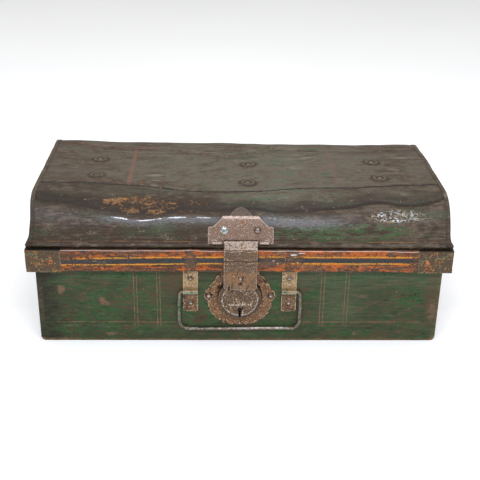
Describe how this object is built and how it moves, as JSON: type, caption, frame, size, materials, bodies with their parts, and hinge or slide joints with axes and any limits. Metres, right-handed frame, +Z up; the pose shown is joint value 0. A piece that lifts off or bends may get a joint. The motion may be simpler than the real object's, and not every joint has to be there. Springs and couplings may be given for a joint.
{
  "type": "metal trunk",
  "caption": "Sheet steel trunk with a hinged round-shouldered lid, a deep painted skirt, a hasp over a round lock and a wire handle on the front.",
  "frame": {"origin": "centre of the box's flat underside, on the surface that the trunk stands on", "axes": "+X along the length, -Y out of the front with the hasp and lock, +Z up"},
  "size_m": [0.6274, 0.3441, 0.2293],
  "materials": {
    "body_paint": "worn green enamel, semi-gloss",
    "lid_paint": "rubbed green enamel gone brown, semi-gloss",
    "band_paint": "striped enamel, worn",
    "clip_paint": "rubbed enamel over bare steel",
    "rusted_steel": "dull brown rust patina",
    "bare_steel": "dulled bare steel",
    "zinc_screw": "zinc plated"
  },
  "bodies": {
    "box": {"body_front": "body_paint", "body_back": "body_paint", "body_end_left": "body_paint", "body_end_right": "body_paint", "body_bottom": "body_paint", "handle_loop_left": "clip_paint", "handle_loop_right": "clip_paint", "lock_plate": "rusted_steel", "lock_case": "rusted_steel", "lock_rivets": "rusted_steel", "handle_rivets": "rusted_steel", "hinge_body_leaf_left": "rusted_steel", "hinge_body_leaf_right": "rusted_steel", "hinge_body_rivets": "rusted_steel", "rim_wire": "bare_steel", "hinge_pin_left": "bare_steel", "hinge_pin_right": "bare_steel", "lock_guide_pins": "bare_steel", "lock_spring": "bare_steel", "lock_key_post": "bare_steel"},
    "lid": {"lid_sheet": "lid_paint", "lid_end_left": "lid_paint", "lid_end_right": "lid_paint", "band_front": "band_paint", "band_back": "band_paint", "band_left": "band_paint", "band_right": "band_paint", "band_corner_front_left": "clip_paint", "band_corner_front_right": "clip_paint", "band_corner_back_left": "clip_paint", "band_corner_back_right": "clip_paint", "band_rivets": "clip_paint", "hasp_plate": "rusted_steel", "hasp_screw": "zinc_screw", "hasp_nut": "zinc_screw", "hasp_rivet": "rusted_steel", "hasp_pin": "bare_steel", "hinge_lid_leaf_left": "rusted_steel", "hinge_lid_leaf_right": "rusted_steel", "hinge_lid_rivets": "rusted_steel"},
    "hasp": {"hasp_strap": "rusted_steel", "hasp_staple": "rusted_steel"},
    "handle": {"handle_bail": "bare_steel"},
    "bolt": {"lock_bolt": "bare_steel"}
  },
  "joints": [
    {"name": "lid_hinge", "type": "hinge", "parent": "box", "child": "lid", "pos_m": [0, 0.16936, 0.116], "axis": [-1, 0, 0], "range_deg": [0, 105]},
    {"name": "hasp_swing", "type": "hinge", "parent": "lid", "child": "hasp", "pos_m": [0, -0.16336, 0.169], "axis": [-1, 0, 0], "range_deg": [0, 135]},
    {"name": "handle_swing", "type": "hinge", "parent": "box", "child": "handle", "pos_m": [0, -0.1592, 0.086], "axis": [-1, 0, 0], "range_deg": [0, 160]},
    {"name": "lock_bolt_slide", "type": "slide", "parent": "box", "child": "bolt", "axis": [1, 0, 0], "range_m": [0, 0.006]}
  ]
}
